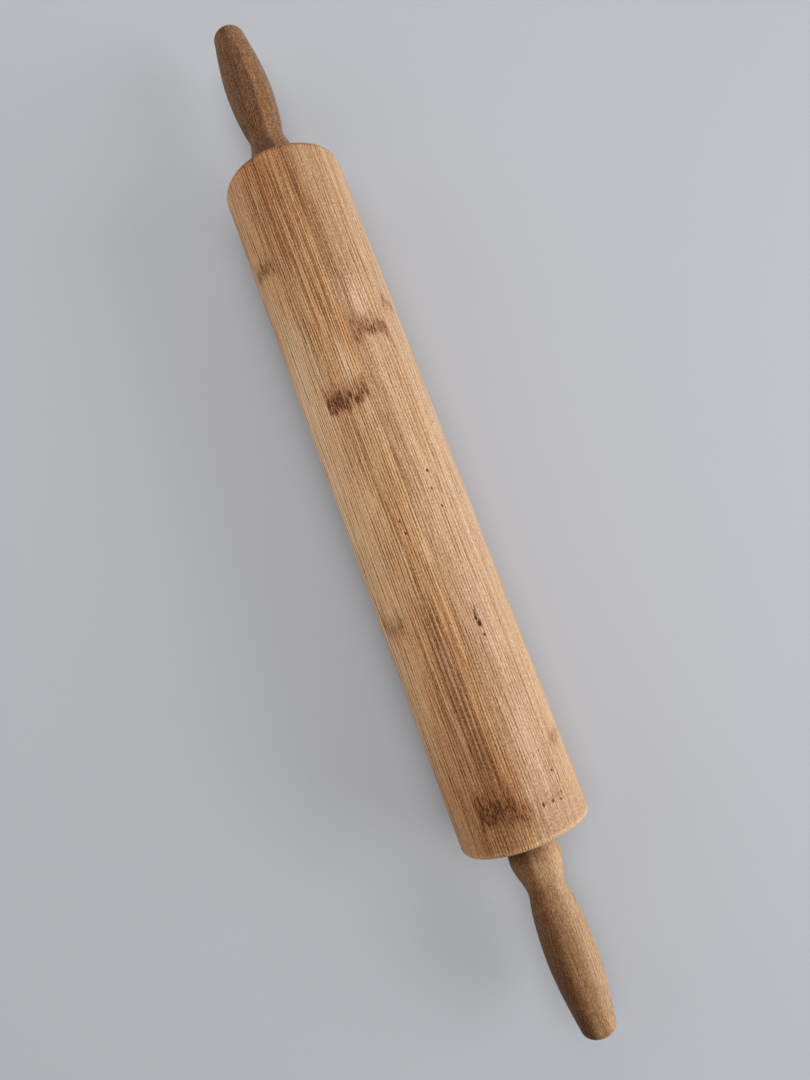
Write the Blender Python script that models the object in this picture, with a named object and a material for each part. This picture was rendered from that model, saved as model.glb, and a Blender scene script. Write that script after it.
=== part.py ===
# Bamboo rolling pin: a laminated barrel that turns on a steel rod between two turned handles.
#
# Metres, +Z up. The pin lies along X with its barrel resting on z = 0, and the origin is
# under its middle. Every piece is turned: an outline of (distance along X, radius) points
# is spun about the pin's axis. The outlines are written for the +X end, and the pieces of
# the -X end share the same meshes, turned half a circle about Z.

import math

import bmesh
import bpy

# Barrel
barrel_diameter = 0.0508
barrel_length = 0.284
barrel_edge_radius = 0.0029
bore_clearance = 0.0013         # the barrel's middle bore round the rod

# Handles: places are measured from the handle's inner face, slopes are radius per length
handle_length = 0.0756
collar_face_radius = 0.0092
collar_face_round = 0.0006
collar_face_slope = 0.20
collar_place = 0.0090
collar_radius = 0.0101
neck_place = 0.0212
neck_radius = 0.0075
swell_place = 0.0268
swell_radius = 0.0085
swell_slope = 0.145
grip_place = 0.0445
grip_radius = 0.0098
tip_round_length = 0.0042
tip_radius = 0.0069
tip_slope = -0.17
tip_fullness = 2.3              # 2 is an ellipse, more is squarer

# Steel rod
rod_diameter = 0.0100
rod_shoulder_step = 0.0010      # how far the screwed ends are turned down
rod_shoulder_chamfer = 0.0003
rod_end_reach = 0.036           # how far each end passes the shoulder
rod_end_chamfer = 0.0006

# Nylon bushes, pressed into the barrel's ends
bush_length = 0.0200            # with the flange
bush_wall = 0.0017
bush_flange_width = 0.0020
bush_flange_thickness = 0.0015
bush_chamfer = 0.0005

# Thrust washers, held between the rod's shoulders and the insert nuts
washer_overlap = 0.0025         # how far a washer reaches past the rod
washer_thickness = 0.0010

# Brass insert nuts, driven into the handles
insert_length = 0.0150
insert_wall = 0.0010
insert_head_length = 0.0015
insert_barbs = 4
insert_barb_height = 0.0005
insert_barb_steep_share = 0.25  # of a barb's length, on the side of the barrel

# Clearances
running_gap = 0.0003            # bush on rod, washer on bush
seat_gap = 0.0003               # pieces that seat on each other
handle_end_gap = 0.0005         # handle face to barrel end
drill_point_angle = math.radians(118)

# Facets round each piece. The barrel's number is even, so it rests on a flat facet.
barrel_sides = 80
handle_sides = 40
rod_sides = 40
small_sides = 40
smooth_angle = math.radians(35)

# Steps along the curves
edge_steps = 5
face_round_steps = 2
tip_steps = 6
handle_step_length = 0.0032

# Sizes that follow
barrel_radius = barrel_diameter / 2
barrel_end = barrel_length / 2
axis_height = barrel_radius * math.cos(math.pi / barrel_sides)
rod_radius = rod_diameter / 2
rod_end_radius = rod_radius - rod_shoulder_step
bore_radius = rod_radius + bore_clearance
bush_bore_radius = rod_radius + running_gap
bush_radius = bush_bore_radius + bush_wall
bush_flange_radius = bush_radius + bush_flange_width
washer_radius = rod_radius + washer_overlap
washer_inner_face = barrel_end + running_gap
washer_outer_face = washer_inner_face + washer_thickness
insert_face = washer_outer_face + seat_gap
insert_end = insert_face + insert_length
insert_bore_radius = rod_end_radius + seat_gap
insert_root_radius = insert_bore_radius + insert_wall
insert_barb_radius = insert_root_radius + insert_barb_height
rod_shoulder = washer_inner_face - seat_gap
rod_tip = rod_shoulder + rod_end_reach
handle_face = barrel_end + handle_end_gap
handle_tip = handle_face + handle_length


def clear_scene():
    for old in list(bpy.data.objects):
        bpy.data.objects.remove(old, do_unlink=True)


def make_material(name, colour, roughness, metallic=0.0):
    material = bpy.data.materials.new(name)
    material.use_nodes = True
    shader = material.node_tree.nodes["Principled BSDF"]
    shader.inputs["Base Color"].default_value = (*colour, 1.0)
    shader.inputs["Roughness"].default_value = roughness
    shader.inputs["Metallic"].default_value = metallic
    material.diffuse_color = (*colour, 1.0)
    return material


def turned_mesh(name, outline, sides, is_ring, material):
    """Spin an outline of (x, radius) points about the X axis, with a facet square to -Z.

    A ring's outline closes on itself; any other starts and ends on the axis."""
    first_angle = -math.pi / 2 + math.pi / sides
    bm = bmesh.new()
    points = []
    for x, radius in outline:
        place = (x, radius * math.cos(first_angle), radius * math.sin(first_angle))
        points.append(bm.verts.new(place))
    edges = [bm.edges.new(pair) for pair in zip(points, points[1:])]
    if is_ring:
        edges.append(bm.edges.new((points[-1], points[0])))
    bmesh.ops.spin(bm, geom=points + edges, cent=(0, 0, 0), axis=(1, 0, 0),
                   angle=2 * math.pi, steps=sides, use_merge=True, use_duplicate=False)
    bmesh.ops.remove_doubles(bm, verts=bm.verts, dist=0.000001)
    bmesh.ops.recalc_face_normals(bm, faces=bm.faces)
    mesh = bpy.data.meshes.new(name)
    bm.to_mesh(mesh)
    bm.free()
    mesh.shade_smooth()
    mesh.set_sharp_from_angle(angle=smooth_angle)
    mesh.materials.append(material)
    return mesh


def add_piece(name, mesh, axis, half_turn=False):
    piece = bpy.data.objects.new(name, mesh)
    bpy.context.scene.collection.objects.link(piece)
    piece.parent = axis
    if half_turn:
        piece.rotation_euler = (0, 0, math.pi)


def add_at_both_ends(base_name, mesh, axis):
    add_piece(base_name + "_right", mesh, axis)
    add_piece(base_name + "_left", mesh, axis, half_turn=True)


def quarter_round(start, end, steps):
    """Round that leaves the first (x, radius) point square to the axis."""
    corner = []
    for step in range(steps + 1):
        turn = math.pi / 2 * step / steps
        x = start[0] + (end[0] - start[0]) * (1 - math.cos(turn))
        radius = start[1] + (end[1] - start[1]) * math.sin(turn)
        corner.append((x, radius))
    return corner


def smooth_run(start, end):
    """Cubic between two (place, radius, slope) stations, without its last point."""
    x0, r0, s0 = start
    x1, r1, s1 = end
    length = x1 - x0
    steps = max(2, round(length / handle_step_length))
    run = []
    for step in range(steps):
        t = step / steps
        radius = (
            (2 * t ** 3 - 3 * t ** 2 + 1) * r0
            + (3 * t ** 2 - 2 * t ** 3) * r1
            + (t ** 3 - 2 * t ** 2 + t) * length * s0
            + (t ** 3 - t ** 2) * length * s1
        )
        run.append((x0 + length * t, radius))
    return run


def rounded_tip(start):
    """Dome from the (place, radius) where it starts to the pin's very end."""
    dome = []
    for step in range(tip_steps):
        turn = math.pi / 2 * step / tip_steps
        reach = math.sin(turn) ** (2 / tip_fullness)
        radius = start[1] * math.cos(turn) ** (2 / tip_fullness)
        dome.append((start[0] + tip_round_length * reach, radius))
    dome.append((start[0] + tip_round_length, 0.0))
    return dome


def barrel_outline():
    """The +X half, from the outside round to the bore, then its mirror image."""
    seat_radius = bush_radius + seat_gap
    seat_floor = barrel_end - bush_length - seat_gap
    flange_seat_radius = bush_flange_radius + seat_gap
    flange_seat_floor = barrel_end - bush_flange_thickness - seat_gap
    edge = quarter_round((barrel_end, barrel_radius - barrel_edge_radius),
                         (barrel_end - barrel_edge_radius, barrel_radius), edge_steps)
    half = list(reversed(edge))
    half += [
        (barrel_end, flange_seat_radius),
        (flange_seat_floor, flange_seat_radius),
        (flange_seat_floor, seat_radius),
        (seat_floor, seat_radius),
        (seat_floor, bore_radius),
    ]
    mirrored = [(-x, radius) for x, radius in reversed(half)]
    return half + mirrored


def handle_outline():
    """From the bottom of the blind hole, out over the inner face and along to the tip."""
    hole_radius = rod_end_radius + seat_gap
    hole_floor = rod_tip + seat_gap
    hole_point = hole_floor + hole_radius / math.tan(drill_point_angle / 2)
    insert_hole_radius = insert_barb_radius + seat_gap
    insert_hole_floor = insert_end + seat_gap
    recess_radius = washer_radius + seat_gap
    outline = [
        (hole_point, 0.0),
        (hole_floor, hole_radius),
        (insert_hole_floor, hole_radius),
        (insert_hole_floor, insert_hole_radius),
        (insert_face, insert_hole_radius),
        (insert_face, recess_radius),
        (handle_face, recess_radius),
    ]
    face_edge = quarter_round((handle_face, collar_face_radius - collar_face_round),
                              (handle_face + collar_face_round, collar_face_radius),
                              face_round_steps)
    outline += face_edge[:-1]
    tip_place = handle_length - tip_round_length
    stations = [
        (collar_face_round, collar_face_radius, collar_face_slope),
        (collar_place, collar_radius, 0.0),
        (neck_place, neck_radius, 0.0),
        (swell_place, swell_radius, swell_slope),
        (grip_place, grip_radius, 0.0),
        (tip_place, tip_radius, tip_slope),
    ]
    for start, end in zip(stations, stations[1:]):
        outline += [(handle_face + place, radius) for place, radius in smooth_run(start, end)]
    outline += rounded_tip((handle_face + tip_place, tip_radius))
    return outline


def rod_outline():
    """The whole rod, from its -X end to its +X end."""
    half = [
        (rod_shoulder - rod_shoulder_chamfer, rod_radius),
        (rod_shoulder, rod_radius - rod_shoulder_chamfer),
        (rod_shoulder, rod_end_radius),
        (rod_tip - rod_end_chamfer, rod_end_radius),
        (rod_tip, rod_end_radius - rod_end_chamfer),
        (rod_tip, 0.0),
    ]
    return [(-x, radius) for x, radius in reversed(half)] + half


def bush_outline():
    """A sleeve whose flange lies level with the barrel's end."""
    inner_end = barrel_end - bush_length
    flange_back = barrel_end - bush_flange_thickness
    return [
        (inner_end, bush_bore_radius),
        (inner_end, bush_radius - bush_chamfer),
        (inner_end + bush_chamfer, bush_radius),
        (flange_back, bush_radius),
        (flange_back, bush_flange_radius),
        (barrel_end, bush_flange_radius),
        (barrel_end, bush_bore_radius),
    ]


def washer_outline():
    return [
        (washer_inner_face, insert_bore_radius),
        (washer_inner_face, washer_radius),
        (washer_outer_face, washer_radius),
        (washer_outer_face, insert_bore_radius),
    ]


def insert_outline():
    """A headed sleeve with saw-tooth barbs, steep towards the barrel to hold against a pull."""
    barbs_start = insert_face + insert_head_length
    barb_length = (insert_length - insert_head_length) / insert_barbs
    outline = [
        (insert_face, insert_bore_radius),
        (insert_face, insert_barb_radius),
        (barbs_start, insert_barb_radius),
    ]
    for barb in range(insert_barbs):
        barb_start = barbs_start + barb_length * barb
        outline.append((barb_start, insert_root_radius))
        outline.append((barb_start + barb_length * insert_barb_steep_share, insert_barb_radius))
    outline.append((insert_end, insert_root_radius))
    outline.append((insert_end, insert_bore_radius))
    return outline


def build():
    clear_scene()
    axis = bpy.data.objects.new("pin_axis", None)
    axis.location = (0, 0, axis_height)
    bpy.context.scene.collection.objects.link(axis)

    barrel_bamboo = make_material("barrel_bamboo", (0.45, 0.25, 0.14), 0.55)
    handle_bamboo = make_material("handle_bamboo", (0.34, 0.18, 0.09), 0.50)
    steel = make_material("rod_steel", (0.60, 0.60, 0.62), 0.30, metallic=1.0)
    nylon = make_material("bush_nylon", (0.82, 0.80, 0.74), 0.45)
    washer_steel = make_material("washer_steel", (0.66, 0.66, 0.68), 0.25, metallic=1.0)
    brass = make_material("insert_brass", (0.72, 0.53, 0.24), 0.35, metallic=1.0)

    barrel = turned_mesh("barrel", barrel_outline(), barrel_sides, True, barrel_bamboo)
    rod = turned_mesh("axle_rod", rod_outline(), rod_sides, False, steel)
    bush = turned_mesh("bush", bush_outline(), small_sides, True, nylon)
    washer = turned_mesh("thrust_washer", washer_outline(), small_sides, True, washer_steel)
    insert = turned_mesh("insert_nut", insert_outline(), small_sides, True, brass)
    handle = turned_mesh("handle", handle_outline(), handle_sides, False, handle_bamboo)

    add_piece("barrel", barrel, axis)
    add_piece("axle_rod", rod, axis)
    add_at_both_ends("bush", bush, axis)
    add_at_both_ends("thrust_washer", washer, axis)
    add_at_both_ends("insert_nut", insert, axis)
    add_at_both_ends("handle", handle, axis)


build()
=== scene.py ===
import math

import bmesh
import bpy
import numpy as np
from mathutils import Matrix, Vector


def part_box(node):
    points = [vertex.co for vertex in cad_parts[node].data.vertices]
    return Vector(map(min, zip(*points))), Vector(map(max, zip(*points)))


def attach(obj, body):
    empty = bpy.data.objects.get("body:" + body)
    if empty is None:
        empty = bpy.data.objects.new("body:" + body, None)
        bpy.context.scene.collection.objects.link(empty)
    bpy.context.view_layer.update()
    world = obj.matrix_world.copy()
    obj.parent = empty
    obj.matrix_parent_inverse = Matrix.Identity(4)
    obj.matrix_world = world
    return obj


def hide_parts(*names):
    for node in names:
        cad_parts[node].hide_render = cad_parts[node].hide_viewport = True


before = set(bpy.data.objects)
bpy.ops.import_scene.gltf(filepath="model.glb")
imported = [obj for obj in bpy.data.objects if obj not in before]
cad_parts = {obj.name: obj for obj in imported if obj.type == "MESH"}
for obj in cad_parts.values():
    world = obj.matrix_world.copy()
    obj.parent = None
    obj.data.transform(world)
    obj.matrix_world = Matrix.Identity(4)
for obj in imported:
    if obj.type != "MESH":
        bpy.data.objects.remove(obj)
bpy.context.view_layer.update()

# A laminated bamboo rolling pin. The pin lies along X on the floor, z = 0.
# Angles round the pin are in degrees from straight up towards +Y, and places along it are
# in mm from its middle.

mm = 0.001
tiny = 0.01 * mm                        # places closer than this count as the same
barrelLow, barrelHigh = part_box("barrel")
barrelRadius = (barrelHigh.z - barrelLow.z) / 2
axisHeight = (barrelHigh.z + barrelLow.z) / 2
barrelEnd = barrelHigh.x


# Camera, at the place it had in the photo

cameraLook = {
    "place": (0.05952, -0.00851, 0.32385),
    "turnDegrees": (7.153, 1.824, 69.738),
    "lens": 25.03,
    "sensor": 36.0,                     # mm along the photo's long side
    "clipStart": 0.01,
}

cameraData = bpy.data.cameras.new("photoCamera")
cameraData.lens = cameraLook["lens"]
cameraData.sensor_width = cameraLook["sensor"]
cameraData.clip_start = cameraLook["clipStart"]
photoCamera = bpy.data.objects.new("photoCamera", cameraData)
photoCamera.location = cameraLook["place"]
photoCamera.rotation_euler = [math.radians(turn) for turn in cameraLook["turnDegrees"]]
bpy.context.scene.collection.objects.link(photoCamera)
bpy.context.scene.camera = photoCamera
print("camera placed")


# Helpers for modelling

def selectNothing():
    bpy.ops.object.select_all(action="DESELECT")


def startEditing(piece, mode="VERT"):
    selectNothing()
    piece.select_set(True)
    bpy.context.view_layer.objects.active = piece
    bpy.ops.object.mode_set(mode="EDIT")
    bpy.ops.mesh.select_mode(type=mode)


def stopEditing():
    bpy.ops.object.mode_set(mode="OBJECT")


def pickFaces(piece, wanted):
    bpy.ops.mesh.select_mode(type="FACE")
    bpy.ops.mesh.select_all(action="DESELECT")
    bm = bmesh.from_edit_mesh(piece.data)
    for face in bm.faces:
        face.select_set(wanted(face.calc_center_median(), face.normal))
    bmesh.update_edit_mesh(piece.data)


def pickEdges(piece, wanted):
    bpy.ops.mesh.select_mode(type="EDGE")
    bpy.ops.mesh.select_all(action="DESELECT")
    bm = bmesh.from_edit_mesh(piece.data)
    for edge in bm.edges:
        edge.select_set(wanted(edge.verts[0].co, edge.verts[1].co))
    bmesh.update_edit_mesh(piece.data)


def fromAxis(point):
    return math.hypot(point.y, point.z - axisHeight)


def closeMesh(piece):
    bpy.ops.mesh.select_mode(type="VERT")
    bpy.ops.mesh.select_all(action="SELECT")
    bpy.ops.mesh.remove_doubles(threshold=tiny / 5)
    bpy.ops.mesh.normals_make_consistent(inside=False)
    stopEditing()


def finishPiece(piece, material, body, cadNode, smoothAngle=35):
    selectNothing()
    piece.select_set(True)
    bpy.context.view_layer.objects.active = piece
    bpy.ops.object.transform_apply(location=True, rotation=True, scale=True)
    bpy.ops.object.shade_smooth_by_angle(angle=math.radians(smoothAngle))
    piece.data.materials.clear()
    piece.data.materials.append(material)
    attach(piece, body)
    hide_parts(cadNode)


# Helpers for material nodes

def newMaterial(name):
    material = bpy.data.materials.new(name)
    material.use_nodes = True
    return material, material.node_tree, material.node_tree.nodes["Principled BSDF"]


def screenColour(red, green, blue):
    # A colour as it looks on a screen, 0 to 255, made linear
    channels = [value / 255 for value in (red, green, blue)]
    linear = [c / 12.92 if c < 0.04045 else ((c + 0.055) / 1.055) ** 2.4 for c in channels]
    return (*linear, 1.0)


def feed(tree, socket, value):
    if isinstance(value, bpy.types.NodeSocket):
        tree.links.new(value, socket)
    else:
        socket.default_value = value


def addNode(tree, kind, sockets, **settings):
    node = tree.nodes.new(kind)
    for name, value in settings.items():
        setattr(node, name, value)
    for name, value in sockets.items():
        feed(tree, node.inputs[name], value)
    return node


def objectPlace(tree):
    return addNode(tree, "ShaderNodeTexCoord", {}).outputs["Object"]


def calc(tree, operation, first, second=0.0, clamp=False):
    node = tree.nodes.new("ShaderNodeMath")
    node.operation = operation
    node.use_clamp = clamp
    feed(tree, node.inputs[0], first)
    feed(tree, node.inputs[1], second)
    return node.outputs[0]


def vectorCalc(tree, operation, first, second):
    node = addNode(tree, "ShaderNodeVectorMath", {0: first, 1: second}, operation=operation)
    return node.outputs[0]


def remap(tree, value, fromLow, fromHigh, toLow=0.0, toHigh=1.0, smooth=False):
    sockets = {"Value": value, "From Min": fromLow, "From Max": fromHigh,
               "To Min": toLow, "To Max": toHigh}
    kind = "SMOOTHSTEP" if smooth else "LINEAR"
    return addNode(tree, "ShaderNodeMapRange", sockets, interpolation_type=kind).outputs["Result"]


def attribute(tree, name):
    return addNode(tree, "ShaderNodeAttribute", {}, attribute_name=name).outputs["Fac"]


def ramp(tree, value, stops):
    node = addNode(tree, "ShaderNodeValToRGB", {"Fac": value})
    elements = node.color_ramp.elements
    elements[0].position, elements[0].color = stops[0]
    elements[1].position, elements[1].color = stops[-1]
    for place, colour in stops[1:-1]:
        elements.new(place).color = colour
    return node.outputs["Color"]


def mixColours(tree, amount, first, second, blend="MIX"):
    node = tree.nodes.new("ShaderNodeMix")
    node.data_type = "RGBA"
    node.blend_type = blend
    factor, firstColour, secondColour, mixed = 0, 6, 7, 2      # the sockets that RGBA uses
    feed(tree, node.inputs[factor], amount)
    feed(tree, node.inputs[firstColour], first)
    feed(tree, node.inputs[secondColour], second)
    return node.outputs[mixed]


def noiseColours(tree, vector, scale, detail):
    scaled = addNode(tree, "ShaderNodeMapping", {"Vector": vector, "Scale": scale})
    noise = addNode(tree, "ShaderNodeTexNoise",
                    {"Vector": scaled.outputs["Vector"], "Scale": 1.0, "Detail": detail})
    return noise.outputs["Color"]


def stretched(tree, vector, length, width, detail=2.0, roughness=0.5):
    # Noise in grains of this length along the pin and this width across it
    scaled = addNode(tree, "ShaderNodeMapping",
                     {"Vector": vector, "Scale": (1 / length, 1 / width, 1 / width)})
    noise = addNode(tree, "ShaderNodeTexNoise",
                    {"Vector": scaled.outputs["Vector"], "Scale": 1.0, "Detail": detail,
                     "Roughness": roughness})
    return noise.outputs["Fac"]


# Bamboo, made of strips. The strips lie in three slabs: flat strips above and below, and
# strips on edge between them.

laminate = {
    "turn": 4.0,                        # degrees that the slabs lie turned about the pin's axis
    "slabHalf": 19.5 * mm,              # half the height of the slab on edge
    "flatWidth": 20.0 * mm,
    "flatJoint": 0.7 * mm,              # the joint between the two flat strips, off the middle
    "edgeWidth": 6.15 * mm,
    "glueWidth": 0.16 * mm,
    "flatNumbers": 30.0,                # where the flat strips' numbers start, past the others'
}

barrelLook = {
    # colours at even steps from tone 0 to the top tone
    "tones": [screenColour(96, 55, 28), screenColour(139, 95, 58), screenColour(178, 136, 99),
              screenColour(210, 173, 138), screenColour(233, 207, 178), screenColour(247, 230, 208)],
    "tone": 0.54,
    "stripSpread": 0.05,
    "bandLength": 70 * mm, "bandWidth": 4.0 * mm, "bandSpread": 0.28,
    "fibreLength": 24 * mm, "fibreWidth": 0.42 * mm, "fibreSpread": 0.98,
    "grainLength": 0.9 * mm, "grainWidth": 0.42 * mm, "grainSpread": 1.00,
    "lineSpacing": 1.02 * mm, "lineStrength": 1.00, "lineLength": 15 * mm,
    "lineShade": (0.36, 0.21, 0.08, 1.0),
    # warmth: 0 is the palest bamboo, 1 the most golden
    "warmth": 0.48,
    "warmths": [(0.0, (1.0, 1.0, 1.0, 1.0)), (0.5, (1.0, 0.935, 0.84, 1.0)),
                (0.85, (1.0, 0.88, 0.70, 1.0)), (1.0, (1.0, 0.81, 0.60, 1.0))],
    "stainColour": screenColour(158, 105, 64),
    "knotColours": [screenColour(150, 94, 50), screenColour(116, 66, 28), screenColour(76, 36, 8)],
    "pitColour": screenColour(78, 38, 12),
    "roughness": 0.54,
    "gloss": 0.22,
    "bumpDepth": 0.10 * mm,
    "laminated": True,
}

# The grain itself, alike on every piece. A range is from low to high, and the last two of
# four numbers are what it becomes.

grainShape = {
    "topTone": 1.25,
    "wanderScale": (30, 60, 60), "wander": 0.7 * mm,
    "tangleScale": (260, 420, 420), "tangle": 2 * mm,           # in a knot
    "fibreRange": (0.22, 0.60, -0.24, 0.14),
    "warmLength": 50 * mm, "warmWidth": 4 * mm, "warmRange": (0.3, 0.7, -0.2, 0.2),
    "driftLength": 60 * mm, "driftWidth": 2.2 * mm, "drift": 1.3,
    "rowRange": (0.0, 0.85),
    "fadeWidth": 1.3 * mm, "fadeRange": (0.36, 0.62, 0.20, 1.0),
    "poreLength": 0.9 * mm, "poreWidth": 0.4 * mm, "poreRange": (0.38, 0.54, 0.45, 1.0),
    "stain": 0.6, "stainRange": (0.05, 0.75),
    "strokeLength": 4 * mm, "strokeWidth": 0.42 * mm, "strokeSpread": 6.0,
    "strokeRange": (0.50, 0.95), "knotRange": (0.08, 0.5), "knotStops": (0.4, 0.8, 1.0),
    "speckLength": 0.8 * mm, "speckWidth": 0.4 * mm, "pitRange": (0.25, 0.55),
    "glue": 0.45,
    "roughRange": (0.3, 0.7), "roughSpread": 0.06, "lineRoughness": 0.12,
    "fibreHeight": 0.5, "grainHeight": 0.35, "knotHeight": -0.5, "bumpStrength": 0.6,
}


def stripNumbers(tree, grain):
    # A number for each strip, and how near its glue joints are: 1 is on the joint
    parts = addNode(tree, "ShaderNodeSeparateXYZ", {"Vector": grain}).outputs
    y, z = parts["Y"], parts["Z"]
    height = calc(tree, "ABSOLUTE", z)
    flat = calc(tree, "GREATER_THAN", height, laminate["slabHalf"])
    flatPlace = calc(tree, "DIVIDE", calc(tree, "SUBTRACT", y, laminate["flatJoint"]),
                     laminate["flatWidth"])
    edgePlace = calc(tree, "ADD", calc(tree, "DIVIDE", y, laminate["edgeWidth"]), 0.5)

    def choose(whenFlat, whenEdge):
        step = calc(tree, "MULTIPLY", flat, calc(tree, "SUBTRACT", whenFlat, whenEdge))
        return calc(tree, "ADD", whenEdge, step)

    def toJoint(place, width):
        fromMiddle = calc(tree, "ABSOLUTE", calc(tree, "SUBTRACT", calc(tree, "FRACT", place), 0.5))
        return calc(tree, "MULTIPLY", calc(tree, "SUBTRACT", 0.5, fromMiddle), width)

    column = choose(calc(tree, "ADD", calc(tree, "FLOOR", flatPlace), laminate["flatNumbers"]),
                    calc(tree, "FLOOR", edgePlace))
    number = addNode(tree, "ShaderNodeCombineXYZ",
                     {"X": column, "Y": calc(tree, "SIGN", z), "Z": flat}).outputs["Vector"]
    toSlab = calc(tree, "ABSOLUTE", calc(tree, "SUBTRACT", height, laminate["slabHalf"]))
    toSide = choose(toJoint(flatPlace, laminate["flatWidth"]),
                    calc(tree, "MINIMUM", toJoint(edgePlace, laminate["edgeWidth"]), height))
    nearest = calc(tree, "MINIMUM", toSlab, toSide)
    glue = remap(tree, nearest, laminate["glueWidth"], 0.0)
    return number, glue


def wanderingGrain(tree, grain, knot):
    # Fibres wander a little, and more where they cross a knot
    shape = grainShape
    wander = noiseColours(tree, grain, shape["wanderScale"], 1.0)
    wanderBy = vectorCalc(tree, "MULTIPLY", wander, (0.0, shape["wander"], shape["wander"]))
    tangle = noiseColours(tree, grain, shape["tangleScale"], 2.0)
    tangle = vectorCalc(tree, "SUBTRACT", tangle, (0.5, 0.5, 0.5))
    tangleBy = addNode(tree, "ShaderNodeVectorMath",
                       {0: tangle, "Scale": calc(tree, "MULTIPLY", knot, shape["tangle"])},
                       operation="SCALE").outputs[0]
    return vectorCalc(tree, "ADD", vectorCalc(tree, "ADD", grain, wanderBy), tangleBy)


def toneColours(tree, look, grain, fibre, fine, stripTone, density):
    # Tone from the marks, which carry painted light and shade as well as the wood's own tone, from the
    # strip, broad bands, fine grain and fibres
    shape = grainShape
    tone = calc(tree, "ADD", attribute(tree, "tone"), look["tone"])
    band = stretched(tree, grain, look["bandLength"], look["bandWidth"])
    for part, spread in ((stripTone, 2 * look["stripSpread"]), (band, look["bandSpread"]),
                         (fine, look["grainSpread"])):
        step = calc(tree, "MULTIPLY", calc(tree, "SUBTRACT", part, 0.5), spread)
        tone = calc(tree, "ADD", tone, step)
    fibreStep = remap(tree, fibre, *shape["fibreRange"])
    fibreStep = calc(tree, "MULTIPLY", fibreStep, look["fibreSpread"])
    fibreStep = calc(tree, "MULTIPLY", fibreStep, calc(tree, "MINIMUM", density, 1.0))
    tone = calc(tree, "ADD", tone, fibreStep)
    lastStep = len(look["tones"]) - 1
    toneStops = [(index / lastStep, shade) for index, shade in enumerate(look["tones"])]
    colour = ramp(tree, calc(tree, "DIVIDE", tone, shape["topTone"]), toneStops)

    # Paler and more golden stretches
    warmNoise = stretched(tree, grain, shape["warmLength"], shape["warmWidth"], 1.0)
    warmth = calc(tree, "ADD", remap(tree, warmNoise, *shape["warmRange"]), look["warmth"])
    warmth = calc(tree, "ADD", warmth, attribute(tree, "warmth"))
    return mixColours(tree, 1.0, colour, ramp(tree, warmth, look["warmths"]), "MULTIPLY")


def darkLines(tree, look, grain, density):
    # Rows of fibre bundles that show as fine lines, broken up by pores
    shape = grainShape
    section = addNode(tree, "ShaderNodeSeparateXYZ", {"Vector": grain}).outputs
    drift = stretched(tree, grain, shape["driftLength"], shape["driftWidth"])
    rows = calc(tree, "ADD", calc(tree, "DIVIDE", section["Y"], look["lineSpacing"]),
                calc(tree, "MULTIPLY", drift, shape["drift"]))
    rows = calc(tree, "SINE", calc(tree, "MULTIPLY", rows, 2 * math.pi))
    rows = remap(tree, rows, *shape["rowRange"])
    fade = remap(tree, stretched(tree, grain, look["lineLength"], shape["fadeWidth"]),
                 *shape["fadeRange"])
    pores = remap(tree, stretched(tree, grain, shape["poreLength"], shape["poreWidth"], 1.0),
                  *shape["poreRange"])
    lines = calc(tree, "MAXIMUM", calc(tree, "MULTIPLY", rows, fade), attribute(tree, "darkLines"))
    lines = calc(tree, "MULTIPLY", calc(tree, "MULTIPLY", lines, pores), look["lineStrength"])
    return calc(tree, "MULTIPLY", lines, density, clamp=True)


def addKnots(tree, look, grain, knot, colour):
    # A reddish stain, and dark strokes that start and stop at their own places
    shape = grainShape
    stain = calc(tree, "MULTIPLY", remap(tree, knot, *shape["stainRange"], smooth=True),
                 shape["stain"])
    colour = mixColours(tree, stain, colour, look["stainColour"])
    strokes = stretched(tree, grain, shape["strokeLength"], shape["strokeWidth"], 4.0, 0.75)
    strokes = calc(tree, "MULTIPLY", calc(tree, "SUBTRACT", strokes, 0.5), shape["strokeSpread"])
    ragged = calc(tree, "ADD", knot, strokes)
    amount = calc(tree, "MULTIPLY", remap(tree, ragged, *shape["strokeRange"], smooth=True),
                  remap(tree, knot, *shape["knotRange"]))
    shade = ramp(tree, ragged, list(zip(shape["knotStops"], look["knotColours"])))
    return mixColours(tree, amount, colour, shade), amount


def addPits(tree, look, grain, colour):
    shape = grainShape
    speck = stretched(tree, grain, shape["speckLength"], shape["speckWidth"], 1.0)
    pit = calc(tree, "ADD", attribute(tree, "pit"), calc(tree, "SUBTRACT", speck, 0.5))
    pit = remap(tree, pit, *shape["pitRange"], smooth=True)
    return mixColours(tree, pit, colour, look["pitColour"])


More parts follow.
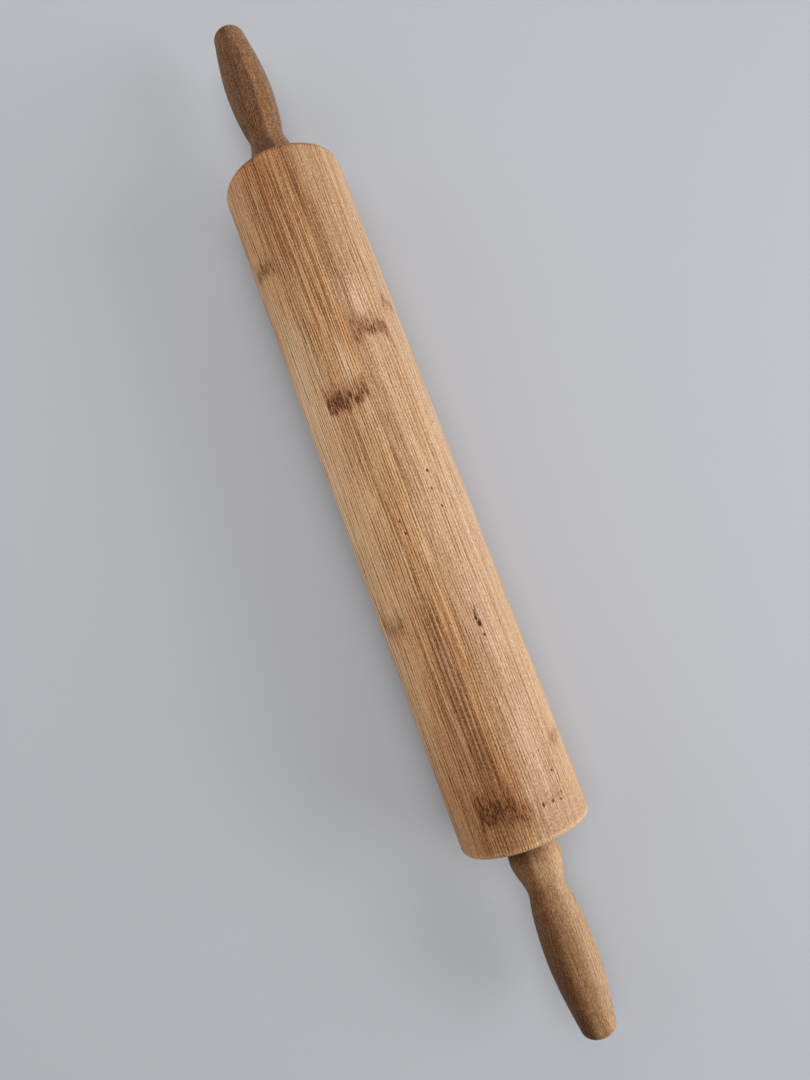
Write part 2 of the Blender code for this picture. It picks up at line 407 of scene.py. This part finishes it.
def bambooMaterial(name, look):
    shape = grainShape
    material, tree, shader = newMaterial(name)
    grain = addNode(tree, "ShaderNodeMapping",
                    {"Vector": objectPlace(tree), "Location": (0, 0, axisHeight),
                     "Rotation": (math.radians(laminate["turn"]), 0, 0)},
                    vector_type="TEXTURE").outputs["Vector"]
    knot = attribute(tree, "knot")

    # Each strip has its own fibres and its own tone
    stripTone = 0.5
    if look["laminated"]:
        number, glue = stripNumbers(tree, grain)
        own = addNode(tree, "ShaderNodeTexWhiteNoise", {"Vector": number}, noise_dimensions="3D")
        stripTone = own.outputs["Value"]
        grain = vectorCalc(tree, "ADD", grain, own.outputs["Color"])
    grain = wanderingGrain(tree, grain, knot)

    density = calc(tree, "ADD", attribute(tree, "lineDensity"), 1.0)
    fibre = stretched(tree, grain, look["fibreLength"], look["fibreWidth"], 3.0, 0.6)
    fine = stretched(tree, grain, look["grainLength"], look["grainWidth"], 2.0, 0.6)
    colour = toneColours(tree, look, grain, fibre, fine, stripTone, density)
    lines = darkLines(tree, look, grain, density)
    colour = mixColours(tree, lines, colour, look["lineShade"], "MULTIPLY")
    colour, knotAmount = addKnots(tree, look, grain, knot, colour)
    colour = addPits(tree, look, grain, colour)
    if look["laminated"]:
        glueAmount = calc(tree, "MULTIPLY", glue, shape["glue"])
        colour = mixColours(tree, glueAmount, colour, look["lineShade"], "MULTIPLY")
    tree.links.new(colour, shader.inputs["Base Color"])
    shader.inputs["Specular IOR Level"].default_value = look["gloss"]

    # Finish: the lines are rougher and lie deeper than the wood between them
    rough = remap(tree, fine, *shape["roughRange"], look["roughness"] - shape["roughSpread"],
                  look["roughness"] + shape["roughSpread"])
    rough = calc(tree, "ADD", rough, calc(tree, "MULTIPLY", lines, shape["lineRoughness"]))
    tree.links.new(rough, shader.inputs["Roughness"])
    heights = calc(tree, "SUBTRACT", calc(tree, "MULTIPLY", fibre, shape["fibreHeight"]), lines)
    for part, height in ((fine, shape["grainHeight"]), (knotAmount, shape["knotHeight"])):
        heights = calc(tree, "ADD", heights, calc(tree, "MULTIPLY", part, height))
    bump = addNode(tree, "ShaderNodeBump", {"Height": heights, "Distance": look["bumpDepth"],
                                            "Strength": shape["bumpStrength"]})
    tree.links.new(bump.outputs["Normal"], shader.inputs["Normal"])
    return material


# Floor and light

studioLook = {
    "floorColour": screenColour(194, 196, 201),
    "floorSize": 6.0,
    "floorRoughness": 0.9,
    "floorGloss": 0.2,
    "worldColour": (1.0, 1.0, 1.0, 1.0),
    "worldStrength": 0.12,
    "backdropColour": screenColour(200, 202, 207),
    "glossShare": 0.4,                  # how much of the backdrop a reflection shows
    "fadeStart": 0.42,                  # metres from the pin where the floor turns into the backdrop
    "fadeEnd": 1.15,
    "lamps": {
        # name: place, size, power, colour
        "windowLamp": ((0.46, 0.96, 0.34), 0.8, 10.5, (1.0, 1.0, 1.0)),
        "topLamp": ((-0.02, 0.02, 1.10), 0.8, 5.8, (1.0, 1.0, 1.0)),
        "endLamp": ((-0.90, 0.20, 0.60), 0.8, 2.1, (1.0, 1.0, 1.0)),
        "fillLamp": ((-0.44, -0.69, 0.45), 0.8, 1.8, (1.0, 0.99, 0.97)),
    },
}


def addLamp(name, place, size, power, colour):
    lamp = bpy.data.lights.new(name, "AREA")
    lamp.size = size
    lamp.energy = power
    lamp.color = colour
    holder = bpy.data.objects.new(name, lamp)
    holder.location = place
    holder.rotation_euler = Vector(place).to_track_quat("Z", "Y").to_euler()
    holder.visible_camera = False
    bpy.context.scene.collection.objects.link(holder)


def backdropRays(tree):
    # 1 for what is seen straight on, less in a reflection, and 0 for the light on the pin
    path = addNode(tree, "ShaderNodeLightPath", {}).outputs
    reflected = calc(tree, "MULTIPLY", path["Is Glossy Ray"], studioLook["glossShare"])
    seen = calc(tree, "ADD", path["Is Camera Ray"], reflected, clamp=True)
    return calc(tree, "ADD", seen, path["Is Transmission Ray"], clamp=True)


def blendShaders(tree, amount, first, second, output):
    blend = addNode(tree, "ShaderNodeMixShader", {0: amount, 1: first, 2: second})
    tree.links.new(blend.outputs[0], tree.nodes[output].inputs["Surface"])


def buildStudio():
    look = studioLook
    selectNothing()
    bpy.ops.mesh.primitive_plane_add(size=look["floorSize"], location=(0, 0, 0))
    floor = bpy.context.object
    floor.name = "floor"
    material, tree, shader = newMaterial("paleFloor")
    shader.inputs["Base Color"].default_value = look["floorColour"]
    shader.inputs["Roughness"].default_value = look["floorRoughness"]
    shader.inputs["Specular IOR Level"].default_value = look["floorGloss"]
    floor.data.materials.append(material)
    distance = addNode(tree, "ShaderNodeVectorMath", {0: objectPlace(tree)},
                       operation="LENGTH").outputs["Value"]
    far = remap(tree, distance, look["fadeStart"], look["fadeEnd"], smooth=True)
    backdrop = addNode(tree, "ShaderNodeEmission", {"Color": look["backdropColour"]})
    blendShaders(tree, calc(tree, "MULTIPLY", far, backdropRays(tree)), shader.outputs[0],
                 backdrop.outputs[0], "Material Output")
    material.cycles.emission_sampling = "NONE"      # the backdrop is seen, and lights nothing

    world = bpy.data.worlds.new("studioWorld")
    bpy.context.scene.world = world
    world.use_nodes = True
    tree = world.node_tree
    light = tree.nodes["Background"]
    light.inputs["Color"].default_value = look["worldColour"]
    light.inputs["Strength"].default_value = look["worldStrength"]
    backdrop = addNode(tree, "ShaderNodeBackground", {"Color": look["backdropColour"]})
    blendShaders(tree, backdropRays(tree), light.outputs[0], backdrop.outputs[0], "World Output")
    for name, settings in look["lamps"].items():
        addLamp(name, *settings)
    bpy.context.scene.view_settings.view_transform = "Standard"


buildStudio()
print("floor and light ready")


# Barrel, from a cylinder

barrelShape = {
    "sides": 400,
    "lengthCuts": 100,
    "edgeRadius": 2.9 * mm,
    "edgeSteps": 6,
    "edgeShare": 0.98,                  # of the edge radius, so the round stops before the next ring
    "endRings": 12,
    "boreRadius": 6.3 * mm,
    "bushSeatRadius": 7.3 * mm,
    "bushSeatDepth": 18.5 * mm,         # beyond the flange's seat
    "flangeSeatRadius": 9.3 * mm,
    "flangeSeatDepth": 1.8 * mm,
    "pitArea": 1.6 * mm,                # faces this near a pit are cut smaller
    "pitCuts": 3,
    "markDepth": 2 * mm,                # how deep the outside's marks fade into the end faces
}


def buildBarrel():
    shape = barrelShape
    selectNothing()
    bpy.ops.mesh.primitive_cylinder_add(vertices=shape["sides"], radius=barrelRadius,
                                        depth=2 * barrelEnd, location=(0, 0, axisHeight),
                                        rotation=(0, math.pi / 2, 0))
    barrel = bpy.context.object
    barrel.name = "rollerBarrel"
    bpy.ops.object.transform_apply(location=True, rotation=True, scale=True)
    startEditing(barrel)

    # The ends: rings down to the flange's seat, then the seats and the bore
    for side in (-1, 1):
        inward = Vector((-side, 0, 0))
        pickFaces(barrel, lambda centre, normal: normal.x * side > 0.9)
        bpy.ops.mesh.inset(thickness=shape["edgeRadius"])
        face = barrelRadius - shape["edgeRadius"] - shape["flangeSeatRadius"]
        for ring in range(shape["endRings"]):
            bpy.ops.mesh.inset(thickness=face / shape["endRings"])
        bpy.ops.mesh.extrude_region_move(
            TRANSFORM_OT_translate={"value": inward * shape["flangeSeatDepth"]})
        bpy.ops.mesh.inset(thickness=shape["flangeSeatRadius"] - shape["bushSeatRadius"])
        bpy.ops.mesh.extrude_region_move(
            TRANSFORM_OT_translate={"value": inward * shape["bushSeatDepth"]})
        bpy.ops.mesh.inset(thickness=shape["bushSeatRadius"] - shape["boreRadius"])
    seatFloor = barrelEnd - shape["flangeSeatDepth"] - shape["bushSeatDepth"]
    pickFaces(barrel, lambda centre, normal: abs(abs(centre.x) - seatFloor) < tiny
              and fromAxis(centre) < shape["boreRadius"] / 2)
    bpy.ops.mesh.bridge_edge_loops()

    # Round the two rims, then cut the long side into short rings
    nearRim = barrelRadius - 0.05 * mm
    pickEdges(barrel, lambda a, b: abs(a.x - b.x) < tiny
              and abs(abs(a.x) - barrelEnd) < tiny
              and fromAxis(a) > nearRim and fromAxis(b) > nearRim)
    bpy.ops.mesh.bevel(offset=shape["edgeRadius"] * shape["edgeShare"], segments=shape["edgeSteps"],
                       profile=0.5, clamp_overlap=False)
    pickEdges(barrel, lambda a, b: abs(a.x - b.x) > barrelEnd and fromAxis(a) > nearRim)
    bpy.ops.mesh.subdivide(number_cuts=shape["lengthCuts"])
    closeMesh(barrel)
    return barrel


# What shows on the bamboo's outside: angles in degrees, the rest in mm

barrelMarks = {
    "stripEdge": 0.4,
    # strip: from and to angle, tone, warmth, density of its lines. The strip from -90 to -37 degrees, on
    # the side away from the window lamp, is paler partly as painted light and partly by its own tone.
    "strips": [(-90, -37, 0.26, 0.55, 0.12), (-37, 5.6, 0.12, 0.42, 0.68),
               (5.6, 46, 0.03, -0.22, -0.10), (46, 90, 0.15, -0.34, -0.45)],
    # stretches: middle, half length, from and to angle, tone. The first three, paler in the middle of the
    # side away from the window lamp and darker towards both ends, are partly painted light and shade and
    # partly the wood's own tone; the one from -90 to -62 degrees is partly painted light thrown up from
    # the floor.
    "stretches": [(0, 70, -90, 5, 0.19), (134, 28, -90, 5, -0.24), (-140, 30, -90, 5, -0.08),
                  (20, 60, 5, 90, 0.05), (-140, 40, 5, 44, -0.06), (140, 16, 5, 90, -0.07),
                  (0, 400, -28, -12, -0.06), (0, 400, 5, 8, -0.10), (0, 400, 17, 24, -0.03),
                  (-60, 60, 34, 43, 0.09), (0, 400, 58, 90, 0.06), (-120, 90, -48, -36, -0.08),
                  (115, 50, -50, -36, -0.08), (0, 400, -44, -37, -0.06), (0, 400, -12, 5, -0.06),
                  (0, 400, 18, 38, 0.05), (139, 5, -12, 6, 0.12), (-20, 36, -90, -62, 0.22),
                  (120, 22, -90, -50, -0.05), (-72, 10, 18, 46, 0.05)],
    # where the lines are fainter or stronger: middle, half length, from and to angle, density
    "lineChanges": [(140, 10, -90, 90, -0.55), (-140, 9, -90, 90, -0.25), (82, 32, -37, 6, -0.22),
                    (0, 400, 7, 20, 0.25)],
    # long lines: angle, from, to, width, strength
    "lines": [(-34, -138, -60, 0.4, 0.85), (-29.5, -70, -45, 0.4, 0.8), (-23, -138, -85, 0.38, 0.85),
              (-17, -110, -60, 0.38, 0.8), (-10.5, -138, -70, 0.38, 1.0), (-8.2, -130, -60, 0.38, 1.0),
              (-1, -138, -60, 0.38, 0.8), (4, -138, -100, 0.38, 0.8), (12, -140, -65, 0.4, 0.6),
              (15, -140, -65, 0.4, 0.7), (28.5, -135, -90, 0.4, 0.5), (44, -138, -92, 0.5, 0.7),
              (-33, -22, 0, 0.5, 0.8), (-24, -20, 0, 0.5, 0.7), (-17, -26, 10, 0.5, 0.7),
              (6, -20, 13, 0.6, 0.7), (17.5, -47, 10, 0.5, 0.6), (-14, 10, 50, 0.5, 0.7),
              (-31, 55, 105, 0.4, 0.9), (-29.5, 52, 100, 0.4, 0.8), (-21, 50, 110, 0.6, 0.9),
              (-17, 50, 115, 0.5, 0.9), (-12.5, 50, 115, 0.5, 0.9), (-8, 50, 125, 0.5, 0.8),
              (-0.5, 50, 115, 0.4, 0.7), (4.5, 50, 110, 0.4, 0.6), (21.5, 48, 102, 0.4, 0.5),
              (39, 60, 118, 0.4, 0.4)],
    # streaks: middle, angle, half length, half width, tone, warmth
    "streaks": [(-118, 9.5, 36, 2.4, -0.12, 0.2), (-42, 11, 16, 2.6, -0.03, 0.0),
                (-88, 25, 36, 5.0, -0.05, 0.0), (-128, -19, 18, 2.8, -0.08, 0.1),
                (-85, 0, 50, 2.0, 0.06, -0.1), (-60, -45, 22, 8.0, 0.03, -0.2),
                (85, -16, 38, 3.2, -0.12, -0.3), (30, -24, 40, 3.0, 0.05, 0.0),
                (60, 39, 75, 3.0, 0.06, -0.1), (112, 22, 22, 3.0, 0.08, -0.4),
                (-70, 24, 9, 3.0, 0.10, -0.4), (-45, -7, 9, 2.2, 0.12, -0.4),
                (-22, 2, 10, 2.5, -0.02, -0.4), (-55, -33, 12, 1.6, 0.12, -0.2),
                (126, 12, 5, 2.2, 0.09, -0.4), (104, 30, 10, 4.0, 0.06, -0.3),
                (136, -12, 9, 30.0, 0.0, -0.25), (65, -30, 17, 2.2, 0.08, 0.0),
                (-92, -10, 34, 2.2, 0.08, 0.0), (132, 2, 12, 2.5, 0.09, 0.0),
                (-38, -70, 9, 3.5, 0.13, 0.0), (-95, -48, 22, 2.0, -0.08, 0.0),
                (-98, -27, 32, 2.4, -0.12, 0.0), (-8, -8, 24, 2.2, -0.07, 0.0),
                (-80, 8, 16, 3.5, 0.0, -0.15), (128, -44, 12, 4.0, 0.0, -0.12),
                (-102, -28, 14, 2.5, 0.0, 0.12), (45, 12, 12, 2.4, -0.06, 0.0),
                (30, -6, 20, 3.0, -0.07, 0.0), (-108, -4, 22, 3.0, -0.05, 0.0)],
    # knots: place at the from, middle and to angle, the two angles, half lengths towards -X
    # and +X, strength
    "knots": [(-99, -98, -96.5, -72, -36.5, 6.0, 3.5, 0.55), (-53.5, -57.5, -54.5, 8, 45, 7.0, 2.4, 0.68),
              (-61, -60, -58, 8, 30, 5.5, 4.0, 0.48), (-33.0, -32.4, -31.6, -35.8, -14, 7.0, 2.6, 1.0),
              (-32.4, -32.6, -34, -18, 5.2, 7.5, 2.6, 0.75), (51, 54.5, 53, -71, -36.5, 6.0, 3.5, 0.50),
              (127.5, 127, 128, -35.5, -1, 9.5, 4.5, 0.94),
              (127.5, 129, 130, -5, 9, 6.5, 5.0, 0.62), (126, 129, 131, 6, 18, 6.0, 5.0, 0.38),
              (126, 128, 128, 6, 40, 6.0, 3.0, 0.30),
              (-66, -69.5, -66, 47, 68, 4.0, 3.0, 0.50), (112, 111, 110, 46, 70, 4.0, 3.0, 0.50)],
    # pits: place, angle, size, depth
    "pits": [(2.2, 28.8, 0.55, 0.9), (9.2, 26.7, 0.5, 0.7), (16.6, 30.3, 0.5, 0.9),
             (23.7, 27.4, 0.4, 0.4), (17.2, -9.7, 0.5, 0.7), (22.0, -8.2, 0.5, 0.7),
             (37.7, -9.0, 0.5, 0.4), (-21.2, 54.5, 0.45, 0.8), (-17.2, 58.3, 0.45, 0.6),
             (56.2, 23.7, 0.5, 0.7), (59.8, 22.2, 0.7, 1.0), (62.0, 23.4, 0.95, 1.0),
             (66.5, 24.1, 0.6, 0.8), (112.8, 26.4, 0.5, 0.5), (111.8, 33.1, 0.4, 0.6),
             (119.8, 38.4, 0.5, 0.8), (129.2, 19.3, 0.6, 0.9), (129.3, 28.6, 0.5, 0.9),
             (128.5, 40.2, 0.5, 0.8), (130.0, 36.9, 0.5, 0.7)],
    # Rims: side, tone. The +X rim is paler as painted light where its round catches the lamps; the -X rim
    # is darker as painted shade along its edge.
    "paintedRims": [(-1, -0.17), (1, 0.20)],
}

# How the marks are drawn: edges in degrees, the rest in mm

markShape = {
    "stretchEdge": 8,
    "changeEdge": 3,
    "lineEnd": 14,
    "lineSharpness": 2.5,
    "knotEdge": 1.5, "faintKnotEdge": 8,            # a faint knot ends softly
    # waves round the pin that shift each fibre's share of a knot: size, period in degrees, and
    # how far the wave moves on from one knot to the next
    "knotWaves": [(0.7, 13.3, 1.0), (0.6, 5.9, 2.3), (0.4, 2.3, 3.7)],
    "pitStretch": 1.3,                              # a pit is longer than it is wide
    "rimFade": 1.0,
    "knotDepth": 0.12, "pitDepth": 0.35,
}


def softStep(value, edge, softness):
    return np.clip((value - edge) / softness + 0.5, 0.0, 1.0)


def window(value, low, high, softness):
    return softStep(value, low, softness) * (1.0 - softStep(value, high, softness))


def storeAttribute(piece, name, values):
    layer = piece.data.attributes.new(name, "FLOAT", "POINT")
    layer.data.foreach_set("value", values.astype(np.float32))


def refinePits(piece, pits):
    startEditing(piece, "FACE")
    spots = [Vector((place * mm, barrelRadius * math.sin(math.radians(angle)),
                     axisHeight + barrelRadius * math.cos(math.radians(angle))))
             for place, angle, size, depth in pits]
    area = barrelShape["pitArea"]
    pickFaces(piece, lambda centre, normal: any((centre - spot).length < area for spot in spots))
    bpy.ops.mesh.subdivide(number_cuts=barrelShape["pitCuts"])
    stopEditing()


def raggedEdge(angle, index):
    return sum(size * np.sin(2 * np.pi * angle / period + index * shift)
               for size, period, shift in markShape["knotWaves"])


def markBamboo(piece, marks, radiusHere, side=1, start=0.0, depthFade=None):
    shape = markShape
    count = len(piece.data.vertices)
    points = np.empty(count * 3, dtype=np.float32)
    piece.data.vertices.foreach_get("co", points)
    points = points.reshape(-1, 3).astype(float)
    place = (points[:, 0] * side - start) / mm
    across, up = points[:, 1], points[:, 2] - axisHeight
    radius = np.hypot(across, up)
    angle = np.degrees(np.arctan2(across, up))
    arcPerDegree = math.radians(radiusHere) / mm
    outside = softStep(radius, radiusHere - depthFade, depthFade) if depthFade else 1.0
    tone, warmth, density, knot, pit, lines = np.zeros((6, count))

    for low, high, stripTone, stripWarmth, stripDensity in marks["strips"]:
        inside = window(angle, low, high, marks["stripEdge"])
        tone += stripTone * inside
        warmth += stripWarmth * inside
        density += stripDensity * inside
    for middle, halfLength, low, high, stretchTone in marks["stretches"]:
        inside = window(angle, low, high, min(shape["stretchEdge"], (high - low) / 2))
        tone += stretchTone * inside * np.exp(-((place - middle) / halfLength) ** 2)
    for middle, halfLength, low, high, change in marks["lineChanges"]:
        inside = window(angle, low, high, shape["changeEdge"])
        density += change * inside * np.exp(-((place - middle) / halfLength) ** 2)
    for at, first, last, width, strength in marks["lines"]:
        offset = (angle - at) * arcPerDegree / width
        line = strength * np.exp(-shape["lineSharpness"] * offset ** 2)
        lines = np.maximum(lines, line * window(place, first, last, shape["lineEnd"]))
    for middle, at, halfLength, halfWidth, streakTone, streakWarmth in marks["streaks"]:
        along = ((place - middle) / halfLength) ** 4
        aside = ((angle - at) * arcPerDegree / halfWidth) ** 2
        streak = np.exp(-along - aside)
        tone += streakTone * streak
        warmth += streakWarmth * streak
    for index, (first, middle, last, low, high, before, after, strength) in enumerate(marks["knots"]):
        t = np.clip((angle - low) / (high - low), 0, 1)
        centre = first * (1 - t) * (1 - 2 * t) + middle * 4 * t * (1 - t) + last * t * (2 * t - 1)
        centre = centre + raggedEdge(angle, index)
        reach = np.where(place < centre, before, after)
        edge = shape["knotEdge"] + shape["faintKnotEdge"] * (1 - strength)
        inside = window(angle, low, high, edge)
        knot = np.maximum(knot, strength * inside * np.exp(-((place - centre) / reach) ** 2))
    for at, around, size, depth in marks["pits"]:
        along = (place - at) / shape["pitStretch"]
        apart = np.hypot(along, (angle - around) * arcPerDegree) / size
        pit = np.maximum(pit, depth * np.exp(-apart ** 2))
    # Painted light on the +X rim and painted shade on the -X rim
    for end, rimLightAndShade in marks["paintedRims"]:
        rimStart = (barrelEnd - barrelShape["edgeRadius"]) / mm
        fade = shape["rimFade"]
        tone += rimLightAndShade * softStep(place * end, rimStart + fade / 2, fade)

    for name, values in (("tone", tone), ("warmth", warmth), ("lineDensity", density),
                         ("darkLines", lines), ("knot", knot), ("pit", pit)):
        storeAttribute(piece, name, values * outside)
    sink = (shape["knotDepth"] * knot + shape["pitDepth"] * pit) * mm * outside
    shrink = 1.0 - np.where(radius > 1 * mm, sink / np.maximum(radius, 1 * mm), 0.0)
    points[:, 1] = across * shrink
    points[:, 2] = up * shrink + axisHeight
    piece.data.vertices.foreach_set("co", points.astype(np.float32).ravel())
    piece.data.update()


rollerBarrel = buildBarrel()
refinePits(rollerBarrel, barrelMarks["pits"])
markBamboo(rollerBarrel, barrelMarks, barrelRadius, depthFade=barrelShape["markDepth"])
print("barrel modelled:", len(rollerBarrel.data.polygons), "faces")


# Handles, turned from an outline that is spun about the pin's axis

handleShape = {
    "sides": 144,
    "gap": 0.5 * mm,                    # to the barrel's end
    # place along the handle, radius and slope at each station, in mm
    "stations": [(0.6, 9.2, 0.20), (9.0, 10.1, 0.0), (21.2, 7.5, 0.0), (26.8, 8.5, 0.145),
                 (44.5, 9.8, 0.0), (71.4, 6.9, -0.17)],
    "stationStep": 0.8,
    "tipLength": 4.2,
    "tipFullness": 2.3,
    "tipSteps": 14,
    "faceRound": 0.6,
    "faceRoundSteps": 4,
    # the blind hole, from its point out to the handle's face: place and radius in mm
    "hole": [(38.4, 0.0), (35.8, 4.3), (16.4, 4.3), (16.4, 6.1), (1.1, 6.1), (1.1, 7.8), (0.0, 7.8)],
    "markRadius": 9 * mm,               # where the widths of its marks are true
}
handleFace = barrelEnd + handleShape["gap"]

# Each handle's marks, as on the barrel, with places in mm from the handle's face

noMarks = {"lineChanges": [], "lines": [], "streaks": [], "knots": [], "pits": [], "paintedRims": []}

handleRightMarks = dict(
    noMarks, stripEdge=22,
    # The strips are darker and more golden on the side away from the lamps and paler and greyer on the
    # side towards them: partly the wood's own tone, partly painted shade and painted highlight.
    strips=[(-179, -18, -0.23, 0.75, 0.3), (26, 58, 0.20, 0.06, 0.0), (58, 179, 0.22, -0.7, 0.0)],
    # The two darker stretches 3.6 mm from the face are a painted shadow of the barrel on the collar,
    # partly the wood's own darker tone there.
    stretches=[(13, 6, -70, 60, 0.13), (3.6, 3.4, -90, 12, -0.12), (3.6, 3.4, -90, 60, -0.08),
               (75, 32, -179, -30, -0.14), (24, 6, -60, 60, 0.04), (34, 14, -16, 6, -0.07),
               (12, 6, -70, -30, 0.04)])

handleLeftMarks = dict(
    noMarks, stripEdge=9,
    strips=[(-179, 12, -0.21, 0.05, 0.4), (42, 179, 0.01, -0.6, 0.0)],
    stretches=[(11, 6, -40, 10, -0.05), (40, 400, -179, -42, 0.11), (40, 400, -42, -28, 0.05),
               (20, 5, -2, 14, 0.14), (70, 10, -2, 14, 0.16), (46, 10, 40, 70, 0.06),
               (11, 7, 40, 75, 0.05)])


def smoothStations(stations, step):
    points = []
    for (x0, r0, s0), (x1, r1, s1) in zip(stations, stations[1:]):
        length = x1 - x0
        count = max(2, round(length / step))
        for index in range(count):
            t = index / count
            radius = ((2 * t ** 3 - 3 * t ** 2 + 1) * r0 + (3 * t ** 2 - 2 * t ** 3) * r1
                      + (t ** 3 - 2 * t ** 2 + t) * length * s0 + (t ** 3 - t ** 2) * length * s1)
            points.append((x0 + length * t, radius))
    return points


def handleOutline():
    shape = handleShape
    faceRound = shape["faceRound"]
    firstRadius = shape["stations"][0][1]
    outline = list(shape["hole"])
    for step in range(shape["faceRoundSteps"]):
        turn = math.pi / 2 * step / shape["faceRoundSteps"]
        outline.append((faceRound * (1 - math.cos(turn)),
                        firstRadius - faceRound + faceRound * math.sin(turn)))
    outline += smoothStations(shape["stations"], shape["stationStep"])
    tipStart, tipRadius = shape["stations"][-1][:2]
    power = 2 / shape["tipFullness"]
    for step in range(shape["tipSteps"]):
        turn = math.pi / 2 * step / shape["tipSteps"]
        outline.append((tipStart + shape["tipLength"] * math.sin(turn) ** power,
                        tipRadius * math.cos(turn) ** power))
    outline.append((tipStart + shape["tipLength"], 0.0))
    return outline


def buildHandle(name, side):
    outline = [Vector((side * (handleFace + place * mm), 0, axisHeight + radius * mm))
               for place, radius in handleOutline()]
    selectNothing()
    bpy.ops.mesh.primitive_plane_add(size=mm, location=outline[0])
    handle = bpy.context.object
    handle.name = name
    bpy.ops.object.transform_apply(location=True, rotation=True, scale=True)
    startEditing(handle)
    bpy.ops.mesh.select_all(action="SELECT")
    bpy.ops.mesh.merge(type="CENTER")   # the plane's corners, drawn together, start the line
    for here, there in zip(outline, outline[1:]):
        bpy.ops.mesh.extrude_vertices_move(TRANSFORM_OT_translate={"value": there - here})
    bpy.ops.mesh.select_all(action="SELECT")
    bpy.ops.mesh.spin(steps=handleShape["sides"], angle=2 * math.pi,
                      center=(0, 0, axisHeight), axis=(1, 0, 0))
    closeMesh(handle)
    return handle


handleLeft = buildHandle("turnedHandleLeft", -1)
handleRight = buildHandle("turnedHandleRight", 1)
markBamboo(handleLeft, handleLeftMarks, handleShape["markRadius"], side=-1, start=handleFace)
markBamboo(handleRight, handleRightMarks, handleShape["markRadius"], side=1, start=handleFace)
print("handles modelled:", len(handleLeft.data.polygons), "faces each")

barrelBamboo = bambooMaterial("barrelBamboo", barrelLook)

handleRightLook = dict(
    barrelLook, laminated=False, tone=0.52, warmth=0.74,
    tones=[screenColour(60, 41, 28), screenColour(100, 71, 49), screenColour(142, 110, 82),
           screenColour(183, 152, 121), screenColour(213, 187, 158), screenColour(232, 210, 184)],
    bandSpread=0.30, fibreSpread=0.70, grainSpread=0.95, grainWidth=0.36 * mm,
    lineStrength=0.42, lineSpacing=0.9 * mm)
handleLeftLook = dict(handleRightLook, tone=0.44, warmth=0.98, grainSpread=1.3, fibreSpread=0.85)
handleRightBamboo = bambooMaterial("handleRightBamboo", handleRightLook)
handleLeftBamboo = bambooMaterial("handleLeftBamboo", handleLeftLook)

finishPiece(rollerBarrel, barrelBamboo, "roller", "barrel")
finishPiece(handleLeft, handleLeftBamboo, "grips", "handle_left")
finishPiece(handleRight, handleRightBamboo, "grips", "handle_right")
print("bamboo finished")


# The inner pieces keep their CAD shapes and get their own finishes

innerLooks = {
    # name: colours of its darker and lighter grain, metallic, roughness, grain length and width
    "rodSteel": ((150, 151, 154), (188, 189, 192), 1.0, 0.30, 0.4, 3.0),
    "washerSteel": ((165, 165, 168), (196, 196, 199), 1.0, 0.26, 1.5, 1.5),
    "bushNylon": ((222, 218, 204), (236, 233, 222), 0.0, 0.46, 2.0, 2.0),
    "insertBrass": ((172, 134, 66), (206, 166, 92), 1.0, 0.34, 0.4, 3.0),
}
innerFinish = {
    "cloudSize": 9 * mm,
    "grainShare": 0.6,                  # of the tone, the rest being clouds
    "toneRange": (0.3, 0.7),
    "roughSpread": 0.06,
    "bumpDepth": 0.02 * mm,
    "bumpStrength": 0.5,
}


def innerMaterial(name, dark, light, metallic, roughness, length, width):
    finish = innerFinish
    low, high = finish["toneRange"]
    material, tree, shader = newMaterial(name)
    place = objectPlace(tree)
    turning = stretched(tree, place, length * mm, width * mm, 3.0, 0.6)
    clouds = stretched(tree, place, finish["cloudSize"], finish["cloudSize"])
    amount = calc(tree, "ADD", calc(tree, "MULTIPLY", turning, finish["grainShare"]),
                  calc(tree, "MULTIPLY", clouds, 1 - finish["grainShare"]))
    colour = ramp(tree, amount, [(low, screenColour(*dark)), (high, screenColour(*light))])
    tree.links.new(colour, shader.inputs["Base Color"])
    shader.inputs["Metallic"].default_value = metallic
    rough = remap(tree, amount, low, high, roughness + finish["roughSpread"],
                  roughness - finish["roughSpread"])
    tree.links.new(rough, shader.inputs["Roughness"])
    bump = addNode(tree, "ShaderNodeBump", {"Height": turning, "Distance": finish["bumpDepth"],
                                            "Strength": finish["bumpStrength"]})
    tree.links.new(bump.outputs["Normal"], shader.inputs["Normal"])
    return material


innerMaterials = {name: innerMaterial(name, *look) for name, look in innerLooks.items()}
finishOfNode = {
    "axle_rod": "rodSteel",
    "thrust_washer_left": "washerSteel", "thrust_washer_right": "washerSteel",
    "bush_left": "bushNylon", "bush_right": "bushNylon",
    "insert_nut_left": "insertBrass", "insert_nut_right": "insertBrass",
}
for nodeName, finish in finishOfNode.items():
    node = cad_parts[nodeName]
    node.data.materials.clear()
    node.data.materials.append(innerMaterials[finish])
print("inner pieces finished")
